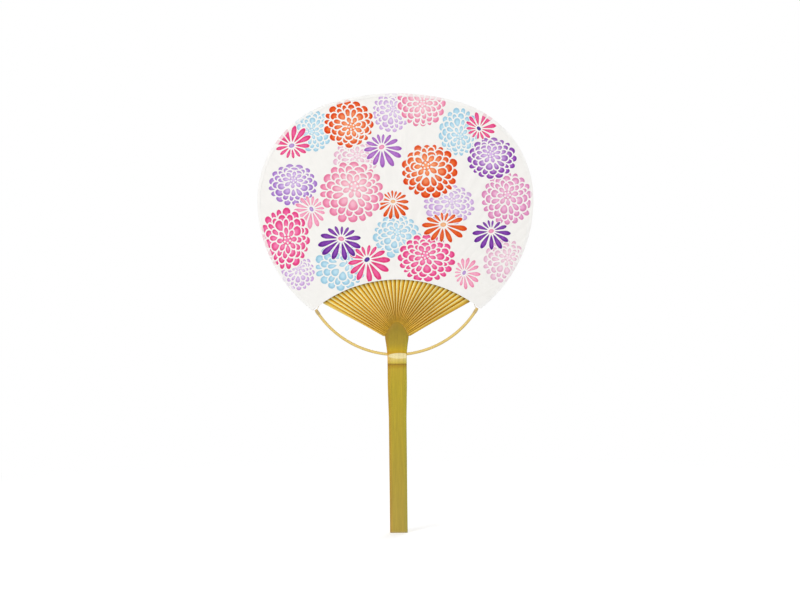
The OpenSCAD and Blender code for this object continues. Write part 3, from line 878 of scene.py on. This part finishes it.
# %% Open chrysanthemum
def open_head(x, z, rx, rz, ex, ez, ink, eye, petals, tilt, seed):
    """A petal's length is the distance from the eye to the oval, from the quadratic of the ray."""
    rng = np.random.default_rng(seed)
    size, off_middle = np.array([rx, rz]), np.array([ex, ez])
    heart = np.array([x, z]) + off_middle
    scale = min(size.mean() / PLAIN_HALF, LARGEST)
    inner = EYE_ROOM * scale
    even = 2 * np.pi * (np.arange(petals) + rng.uniform(0, 1)) / petals
    even = even + rng.normal(0, RAY_STRAY, petals)
    stretch = (rx / rz) ** OVAL_POWER
    turns = np.unwrap(np.arctan2(stretch * np.sin(even), np.cos(even)))
    spaces = np.diff(turns, append=turns[0] + 2 * np.pi)
    halves = np.minimum(spaces, np.roll(spaces, 1)) / 2
    rays = []
    for turn, half in zip(turns, halves):
        d, o = direction(turn) / size, off_middle / size
        far = (-(d @ o) + math.sqrt((d @ o) ** 2 - (d @ d) * (o @ o - 1))) / (d @ d)
        length = far * rng.uniform(0.95, 1.03) - inner
        rays.append((turn, length, half))
    for turn, length, half in rays:
        foot = heart + (inner - WHITE_LINE) * direction(turn)
        put(long_petal(
            foot, turn, length + 2 * WHITE_LINE, inner - WHITE_LINE, half, -WHITE_LINE), BLANK)
    put(oval(heart, inner, inner), BLANK)
    for turn, length, half in rays:
        foot = heart + inner * direction(turn)
        outline = long_petal(foot, turn, length, inner, half, GAP_SHARE * WHITE_LINE)
        put(outline, ink, heart, size.mean())
    put(oval(heart, EYE_WIDE * scale, EYE_TALL * scale, math.radians(tilt)), eye)


# %% [markdown]
# The heads are laid out over the sheet. A round head's row gives its middle, its half width
# and half height, how far its heart is from the middle, its ink and the petals of its
# outermost ring. An open head's row gives the ink of the eye as well, and it ends with the
# number of petals and the tilt of the eye in degrees. The list runs from the heads at the
# back to those in front.

# %% Inks
INK = {name: (linear(light), linear(deep)) for name, light, deep in (
    ("sky", "#B5DCEE", "#A3D3E9"), ("lilac", "#DCC2E8", "#D0ABE0"), ("blush", "#F4CCDC", "#ECB9D2"),
    ("violet", "#CFA6E2", "#8A3FAE"), ("heather", "#CFAEE3", "#A678CC"), ("mauve", "#EDA6CB", "#E28CBE"),
    ("rose", "#F9B6C6", "#F082A8"), ("cerise", "#F4689E", "#EC4588"), ("coral", "#F7854E", "#E4440E"),
    ("vermilion", "#E95A22", "#E0440C"), ("plum", "#7E38A8", "#662394"), ("iris", "#B070C8", "#A058BC"),
    ("crimson", "#EE4C88", "#E83A7C"), ("pink", "#F8A3C0", "#F78FB4"), ("pink_eye", "#F490B8", "#F08AB4"),
    ("lilac_eye", "#B98FD6", "#B287D0"), ("apricot_eye", "#F9B884", "#F6AE78"),
    ("plum_eye", "#4E2A92", "#45238A"))}
print("inks:", len(INK))

# %% Layout of the heads
BACK_HEADS = [
    (-2.5, 344.5, 16, 17, 1.5, 2.8, "lilac", 16), (-67, 330, 17, 17.5, -1.3, -0.4, "sky", 16),
    (52.5, 328, 17, 20, 1, -3.5, "sky", 16), (-32.5, 305.5, 19.5, 17, 1.5, 4, "blush", 16),
    (44, 268.5, 21.5, 17, 2.3, 2.7, "lilac", 16), (1, 243, 20, 18.5, 0.2, 3.5, "sky", 16),
    (-45.5, 219.5, 21.5, 21, 8, 3, "sky", 16), (-80.5, 214, 14, 15, 0.5, 4, "lilac", 16),
    (89, 221.5, 18, 18.5, 2.8, 3, "blush", 16), (91.5, 273, 21.5, 22.5, 0.3, 3, "mauve", 18),
    (22.5, 353, 20.5, 21.5, 0.5, -1.5, "rose", 18), (-84, 286, 20.5, 17.5, 0.6, 4, "heather", 16),
    (-70.5, 263.5, 13, 13.5, 1.6, 2.5, "pink", "lilac_eye", 14, 60),
    (-91, 242, 21, 25.5, 2, -1.3, "cerise", 18),
    (-1.5, 268.5, 13, 12, -0.5, 3, "vermilion", "apricot_eye", 15, 0),
    (79.5, 306, 20.5, 17.5, -0.8, 3.5, "violet", 16)]
FRONT_HEADS = [
    (-37.5, 336, 21, 20, 2.2, -2.8, "coral", 16), (28.5, 296, 24, 23, -3.2, 4.7, "coral", 18),
    (-35.5, 279.5, 27, 26, 1.8, 4.8, "rose", 18), (25, 224.5, 24, 20, -1, 2.6, "cerise", 18),
    (-84, 321.5, 15.5, 14, -0.6, -3.3, "crimson", "lilac_eye", 13, -20),
    (71, 333, 13, 11.5, -2, -2.4, "crimson", "plum_eye", 13, 50),
    (-9.5, 313, 16, 14, -1.3, 3.2, "iris", "pink_eye", 13, -28),
    (40, 249.5, 18.5, 12.5, -1, 2.6, "vermilion", "apricot_eye", 13, -5),
    (-22, 220.5, 18, 15.5, -1.8, 3.6, "crimson", "plum_eye", 13, -35),
    (-46, 237.5, 18, 14.5, 1.2, 3.9, "plum", "pink_eye", 13, 15),
    (78.5, 243, 15.5, 12.5, -0.3, 3.4, "plum", "pink_eye", 13, -12),
    (58.5, 212, 10.5, 13, -2.8, 0.5, "pink", "lilac_eye", 14, -60)]


def lay_head(seed, x, z, rx, rz, hx, hz, ink, *rest):
    """A row with an eye's ink is an open head, and one without it is a round head."""
    if len(rest) == 1:
        round_head(x, z, rx, rz, hx, hz, INK[ink], rest[0], seed)
    else:
        open_head(x, z, rx, rz, hx, hz, INK[ink], INK[rest[0]], *rest[1:], seed)


for seed, row in enumerate(BACK_HEADS + FRONT_HEADS):
    lay_head(seed, *row)
# The ink stops just short of the sheet's lower edge
BARE_MM = 0.9
bare = direction(np.linspace(-CORNER, CORNER, 90))
bare = np.concatenate([(EDGE_R - 2) * bare, (EDGE_R + BARE_MM) * bare[::-1]])
put(np.array([0, EDGE_Z]) + bare, BLANK)
INKS = np.array(INKS, INK_ROW)
print("petal outlines:", len(SHAPES))

# %% [markdown]
# ## The sheets
# A sheet is a closed shell 0.2 mm thick. Its printed face is a triangulation that keeps
# every petal's outline as edges, so the ink ends exactly where a face ends. Rows of points
# along the ribs carry the relief. The hidden inner face needs no petals, only the outline
# and those rows. Normals come from the slope of the depth function, and not from the
# triangles, which are too uneven to shade smoothly.

# %% Which petal covers a place
def covered(shape, p):
    """Indices of the places inside a shape: a ray to the right crosses an odd number of its edges."""
    near = np.flatnonzero(((p > shape.min(0)) & (p < shape.max(0))).all(1))
    a, b = shape, np.roll(shape, -1, 0)
    x, z = p[near, 0][:, None], p[near, 1][:, None]
    spans = (a[:, 1] > z) != (b[:, 1] > z)
    rise = np.where(b[:, 1] == a[:, 1], 1e-9, b[:, 1] - a[:, 1])
    cross = x < a[:, 0] + (z - a[:, 1]) * (b[:, 0] - a[:, 0]) / rise
    return near[(spans & cross).sum(1) % 2 == 1]


def shape_over(p):
    """Number of the last shape painted over each place, or 0 where the paper is bare."""
    over = np.zeros(len(p), int)
    for k, shape in enumerate(SHAPES, 1):
        over[covered(shape, p)] = k
    return over


# %% Triangulation
def triangles_inside(outline, shapes=(), dots=()):
    """Points and triangles inside the outline, with every shape's line kept along their edges."""
    loops = [outline, *shapes]
    starts = np.cumsum([0] + [len(loop) for loop in loops])
    spans = zip(starts[:-1], starts[1:])
    edges = [(k, k + 1 if k + 1 < b else a) for a, b in spans for k in range(a, b)]
    flat = [Vector(p) for p in np.concatenate([*loops, *dots])]
    points, _, tris, *_ = delaunay_2d_cdt(flat, edges, [], 0, 1e-4, False)
    points, tris = np.array([tuple(p) for p in points]), np.array([list(t) for t in tris])
    tris = tris[covered(outline, points[tris].mean(1))]
    used, renamed = np.unique(tris, return_inverse=True)
    return points[used], renamed.reshape(-1, 3)


SEES_ALL = (0, 290)


def boundary(points, tris):
    """Points on the outline in order of their direction from a place that sees them all."""
    edges = np.sort(np.concatenate([tris[:, [0, 1]], tris[:, [1, 2]], tris[:, [2, 0]]]), 1)
    unique, count = np.unique(edges, axis=0, return_counts=True)
    rim = np.unique(unique[count == 1])
    away = points[rim] - SEES_ALL
    return rim[np.argsort(np.arctan2(away[:, 1], away[:, 0]))]


def slope_normals(p, sign):
    """Outward normal of y = sign * depth: (-dh/dx, sign, -dh/dz), from places 0.1 mm to each side."""
    h = 0.1
    dx = (face_depth(p + [h, 0]) - face_depth(p - [h, 0])) / (2 * h)
    dz = (face_depth(p + [0, h]) - face_depth(p - [0, h])) / (2 * h)
    n = np.column_stack([-dx, np.full(len(p), sign), -dz])
    return n / np.linalg.norm(n, axis=1, keepdims=True)


# %% Points along the ribs
ROW_STEP, ROW_START, ROW_END, APART = 3.5, 0.8, 0.3, 0.9
BESIDE, INSIDE_RIM = (-3.4, -2.2, -1.0, 1.0, 2.2, 3.4), (0.5, 1.1, 1.8)


def relief_points():
    """Rows of points beside every rib, from the lower edge to the rim, where the paper bends."""
    rows = []
    for i in range(RIB_N):
        s = np.arange(TO_EDGE[i] + ROW_START, TO_RIM[i] - ROW_END, ROW_STEP)
        rows.extend(ROOTS[i] + s[:, None] * ALONG[i] + off * ACROSS[i] for off in BESIDE)
    rows.extend(rim_line(-inset) for inset in INSIDE_RIM)
    p = np.concatenate(rows)
    p = p[(from_rim(p) > 0.4) & (np.hypot(p[:, 0], p[:, 1] - EDGE_Z) > EDGE_R + 0.5)]
    return p[np.unique((p / APART).round(), axis=0, return_index=True)[1]]


DOTS = relief_points()
print("relief points:", len(DOTS))


# %% Making a sheet
def make_sheet(name, sign, shapes=(), cores=()):
    """Shell between depth and depth + 0.2 mm, in front (sign -1) or behind (sign +1)."""
    points, tris = triangles_inside(OUTLINE, shapes, [DOTS, *cores])
    rim = boundary(points, tris)
    inner, inner_tris = triangles_inside(points[rim], dots=[DOTS])
    inner_rim = boundary(inner, inner_tris)
    if np.abs(inner[inner_rim] - points[rim]).max() > 1e-3:
        raise ValueError("the two faces of the sheet have different outlines")
    n = len(points)
    y = sign * np.concatenate([face_depth(points) + PAPER_T, face_depth(inner)])
    flat = np.concatenate([points, inner])
    walls = np.column_stack([rim, inner_rim + n, np.roll(inner_rim, -1) + n, np.roll(rim, -1)])
    outer, hidden = tris, inner_tris[:, ::-1] + n
    if sign > 0:
        outer, hidden, walls = outer[:, ::-1], hidden[:, ::-1], walls[:, ::-1]
    in_space = np.column_stack([flat[:, 0], y, flat[:, 1]])
    sheet = make_piece(name, in_space, [*outer, *hidden, *walls])
    normals = np.concatenate([slope_normals(points, sign), -slope_normals(inner, sign)])
    sheet.data.normals_split_custom_set_from_vertices(normals.tolist())
    return sheet, points, outer


front_sheet, print_points, print_tris = make_sheet("printed_front_sheet", -1, SHAPES, CORES)
back_sheet = make_sheet("plain_back_sheet", 1)[0]
print("triangles of the printed face:", len(print_tris))

# %% Ink on the sheet
EDGE_DARK, CORE_LIGHT = 0.10, 0.40


def ink_colours(p, over):
    """Light to deep by distance from the heart, and a tenth darker towards each petal's line."""
    ink = INKS[over - 1]
    away = np.linalg.norm(p - ink["heart"], axis=1) / ink["spread"]
    colour = mix(ink["light"], ink["deep"], smoothstep(0.1, 1.0, away)[:, None])
    arm = p - ink["middle"]
    out = np.sqrt(np.einsum("pi,pij,pj->p", arm, ink["metric"], arm))
    is_ink = np.abs(ink["light"] - PAPER).max(1) > 1e-6
    edge = np.where(is_ink, smoothstep(0.45, 1.0, out), 0)[:, None]
    thin = np.where(is_ink, 1 - smoothstep(0.3, 0.7, out), 0)[:, None]
    colour = colour * (1 - EDGE_DARK * edge) + CORE_LIGHT * thin * (1 - colour) * np.sqrt(colour)
    return np.where((over == 0)[:, None], PAPER, colour)


def print_sheet(sheet, points, outer):
    """Gives every corner of the printed face its ink, and the rest of the sheet plain white."""
    colours = np.ones((len(sheet.data.loops), 4))
    colours[:, :3] = PAPER
    over = np.repeat(shape_over(points[outer].mean(1)), 3)
    ink = ink_colours(points[outer].reshape(-1, 2), over)
    colours[:len(ink), :3] = ink
    layer = sheet.data.color_attributes.new("ink", "FLOAT_COLOR", "CORNER")
    layer.data.foreach_set("color", colours.ravel())


print_sheet(front_sheet, print_points, print_tris)
print("coloured corners of the front sheet:", len(front_sheet.data.loops))

# %% [markdown]
# ## Paper
# The sheets are mulberry paper: matt, a little warm, with long fibres that show as a faint
# cloudiness and a very shallow tooth. The ink lies in the paper, so it has the same
# surface. The front reads its colour from the ink attribute.

# %% Paper material
FIBRE_MM, CLOUD_MM = 0.9, 9.0


def paper(name, colour=None):
    """Matt paper: a plain colour, or the ink where none is given, times a faint cloud, with the
    fibres' tooth as bump."""
    material, tree = new_material(name)
    place = add(tree, "ShaderNodeTexCoord").outputs["Object"]
    cloud = add(tree, "ShaderNodeTexNoise", Vector=place, Scale=1 / (CLOUD_MM * MM), Detail=3.0)
    fibres = add(
        tree, "ShaderNodeTexNoise", Vector=place, Scale=1 / (FIBRE_MM * MM), Detail=3.0,
        Distortion=1.5)
    dim = ramp(tree, cloud, 0.97, 1.0, 0.3, 0.7)
    if colour is None:
        colour = add(tree, "ShaderNodeVertexColor", {"layer_name": "ink"})
    surface(
        tree, colour, dim, fibres, 0.25, 0.03, Roughness=0.72, IOR=1.45, Specular_IOR_Level=0.15)
    return material


# Printed mulberry paper: offset ink soaked into a matt white sheet.
printed_paper = paper("printed_mulberry_paper")
# Plain mulberry paper behind, a little less bleached than the printed sheet.
plain_paper = paper("plain_mulberry_paper", linear("#F3F1EA"))
# Edging tissue: a thin white strip through which the print still shows faintly.
edging_tissue = paper("edging_tissue")

# %% [markdown]
# ## Edging
# The rim is closed by a narrow strip of thin tissue, folded over both sheets. It is a flat
# U carried round the rim. A straight strip bent round a curve puckers, so its inner border
# wavers a little. The print below shows through, so each point takes the ink of the sheet
# under it, washed out by the tissue.

# %% Shape of the edging
EDGING_STEP, TISSUE_SHOWS = 0.45, 0.30
TISSUE = linear("#F9F8F5")
# Columns of the profile, from the strip's border at 1 to the rim at 0
INSETS = np.array([1.0, 0.86, 0.7, 0.55, 0.4, 0.28, 0.16, 0.07, 0.0])
# The border's waver: height in mm, length in mm and phase of each wave
WAVERS = ((0.12, 3.1, 0), (0.09, 1.37, 1), (0.15, 17, 0))
PUCKER, PUCKER_MM, OFF_SHEET, OFF_RIM = 0.03, 1.1, 0.01, 0.02


def even_line(line, step):
    """The line's points spaced evenly by its own length."""
    run = np.concatenate([[0], np.cumsum(np.hypot(*np.diff(line, axis=0).T))])
    even = np.linspace(0, run[-1], int(run[-1] / step))
    return np.column_stack([np.interp(even, run, line[:, c]) for c in (0, 1)]), even


def make_edging():
    """Profile of a flat U, outer face then inner face, carried along the rim."""
    line, run = even_line(rim_line(), EDGING_STEP)
    along = np.gradient(line, axis=0)
    outward = np.column_stack([-along[:, 1], along[:, 0]])
    outward = (outward / np.linalg.norm(outward, axis=1, keepdims=True))[:, None]
    waver = sum(high * np.sin(run / long + phase) for high, long, phase in WAVERS)
    depth = (EDGING_W + waver)[:, None] * INSETS
    line = line[:, None]
    rows = line - outward * depth[..., None]
    flat = rows.reshape(-1, 2)
    lift = (face_depth(flat) + PAPER_T).reshape(depth.shape)
    pucker = PUCKER * np.sin(run / PUCKER_MM)[:, None] * INSETS * (1 - INSETS) * 4
    outer = lift + 0.5 * EDGING_T + pucker
    inner = lift + OFF_SHEET
    fold = np.linspace(0, np.pi, 7)[1:-1]
    fold_y = -np.cos(fold) * outer[:, -1:]
    fold_rows = line + outward * (np.sin(fold) * EDGING_T)[:, None]
    inner_fold = line + outward * OFF_RIM
    xz = np.concatenate([rows, fold_rows, rows[:, ::-1], rows, inner_fold, rows[:, ::-1]], 1)
    y = np.concatenate([
        -outer, fold_y, outer[:, ::-1], inner, 0 * run[:, None], -inner[:, ::-1]], 1)
    return np.stack([xz[..., 0], y, xz[..., 1]], -1), flat, depth.shape


edging_points, edging_flat, leg_shape = make_edging()
print("rows and columns of the edging:", edging_points.shape[:2])

# %% Making the edging
n_rows, n_columns = edging_points.shape[:2]
edging = make_piece("rim_edging", edging_points.reshape(-1, 3), tube_faces(n_rows, n_columns))
washed = mix(TISSUE, ink_colours(edging_flat, shape_over(edging_flat)), TISSUE_SHOWS)
edging_ink = np.broadcast_to(TISSUE, (n_rows, n_columns, 3)).copy()
edging_ink[:, :leg_shape[1]] = washed.reshape(*leg_shape, 3)
paint(edging, "ink", edging_ink.reshape(-1, 3))
print("edging strip is", round(n_rows * EDGING_STEP), "mm long")

# %% Paper pieces join the frame
dress(front_sheet, printed_paper, "front_paper")
dress(back_sheet, plain_paper, "back_paper")
dress(edging, edging_tissue, "edging_strip")

# %% [markdown]
# ## Thread
# A cotton thread runs from one end of the bow to the other, in front of one rib and behind
# the next, and holds them apart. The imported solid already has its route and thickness, so
# it is kept. Cotton is matt, and its twist shows as slanting ridges.

# %% Thread material
# A band wave of scale 1 repeats after this length
BAND_LENGTH = 0.314


def cotton(name, colour, twist_mm):
    """Matt thread with slanting ridges, a wave across the object at the pitch of the twist."""
    material, tree = new_material(name)
    place = add(tree, "ShaderNodeTexCoord").outputs["Object"]
    turned = add(tree, "ShaderNodeMapping", Vector=place, Rotation=(0.0, 0.6, 0.0))
    twist = add(
        tree, "ShaderNodeTexWave", {"wave_type": "BANDS", "bands_direction": "X"}, Vector=turned,
        Scale=BAND_LENGTH / (twist_mm * MM), Distortion=0.5).outputs["Fac"]
    surface(tree, colour, ramp(tree, twist, 0.80, 1.0), twist, 0.6, 0.05, Roughness=0.85)
    return material


# Cotton thread: two plies of straw-coloured cotton, twisted.
thread_material = cotton("twisted_cotton_thread", linear("#E4CC94"), 0.5)
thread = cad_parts["binding_thread"]
thread.data.materials.clear()
thread.data.materials.append(thread_material)
print("thread keeps its solid's points:", len(thread.data.vertices))

# %% [markdown]
# ## Light and floor
# The fan is shown on plain white, so the floor is white and the world is white to the
# camera. A soft lamp from the upper left lights the ribs' bright edges, over the highlight
# painted on them, a weaker one fills the other side and one lights the back. The floor adds a
# little of its own white for the camera alone, so that it meets the background without a line
# and still takes the fan's shadow.

# %% Floor
FLOOR_HALF, FLOOR_WHITE, FLOOR_LIFT = 6000, 0.86, 0.30
FADE_FROM, FADE_TO = 0.25, 0.7


def make_floor():
    """Matt white floor that fades into a pure white further out, by distance from the handle."""
    material, tree = new_material("white_floor")
    camera_ray = add(tree, "ShaderNodeLightPath").outputs["Is Camera Ray"]
    place = add(tree, "ShaderNodeTexCoord").outputs["Object"]
    away = add(tree, "ShaderNodeVectorMath", {"operation": "LENGTH"}, Vector=place)
    far = ramp(
        tree, away.outputs["Value"], 0.0, 1.0, FADE_FROM, FADE_TO, interpolation_type="SMOOTHSTEP")
    seen = add(tree, "ShaderNodeMath", {"operation": "MULTIPLY"}, (camera_ray, far))
    lift_by = add(tree, "ShaderNodeMath", {"operation": "MULTIPLY"}, (camera_ray, FLOOR_LIFT))
    matt = add(tree, "ShaderNodeBsdfDiffuse", Color=(FLOOR_WHITE, FLOOR_WHITE, FLOOR_WHITE, 1))
    lift = add(tree, "ShaderNodeEmission", Strength=lift_by)
    near = add(tree, "ShaderNodeAddShader", feeds=(matt, lift))
    white = add(tree, "ShaderNodeEmission", Strength=1.0)
    whole = add(tree, "ShaderNodeMixShader", feeds=(seen, near, white))
    add(tree, "ShaderNodeOutputMaterial", Surface=whole)
    corners = FLOOR_HALF * np.array([[-1, -1, 0], [1, -1, 0], [1, 1, 0], [-1, 1, 0]])
    floor = make_piece("floor", corners, [np.arange(4)], smooth=False)
    floor.data.materials.append(material)
    return floor


floor = make_floor()
print("floor in metres:", tuple(floor.dimensions[:2]))

# %% World and lamps
WORLD_LIGHT = 0.55
FAN_MIDDLE = Vector((0, 0, 0.2))


def make_world(strength):
    """White to the camera and in reflections, and a plain soft light on everything else."""
    world = bpy.data.worlds.new("white_room")
    world.use_nodes = True
    tree = world.node_tree
    tree.nodes.clear()
    ray = add(tree, "ShaderNodeLightPath").outputs
    seen = ray["Is Camera Ray"]
    for other in ("Is Transmission Ray", "Is Glossy Ray"):
        seen = add(tree, "ShaderNodeMath", {"operation": "MAXIMUM"}, (seen, ray[other]))
    level = ramp(tree, seen, strength, 1.0)
    sky = add(tree, "ShaderNodeBackground", Color=(1, 1, 1, 1), Strength=level)
    add(tree, "ShaderNodeOutputWorld", Surface=sky)
    bpy.context.scene.world = world


def lamp(name, place, size, power):
    """A square soft lamp that looks at the middle of the fan."""
    data = bpy.data.lights.new(name, "AREA")
    data.size, data.energy = size, power
    light = bpy.data.objects.new(name, data)
    light.location = place
    look = FAN_MIDDLE - Vector(place)
    light.rotation_euler = look.to_track_quat("-Z", "Y").to_euler()
    bpy.context.scene.collection.objects.link(light)
    return light


make_world(WORLD_LIGHT)
lamps = [
    lamp("key", (-0.9, -1.5, 1.2), 0.7, 15), lamp("fill", (1.3, -1.4, 0.5), 1.2, 3.5),
    lamp("back", (0.4, 1.8, 1.1), 1.2, 16)]
print("lamps in watts:", {light.name: round(light.data.energy, 1) for light in lamps})
bpy.context.scene.view_settings.view_transform = "Standard"
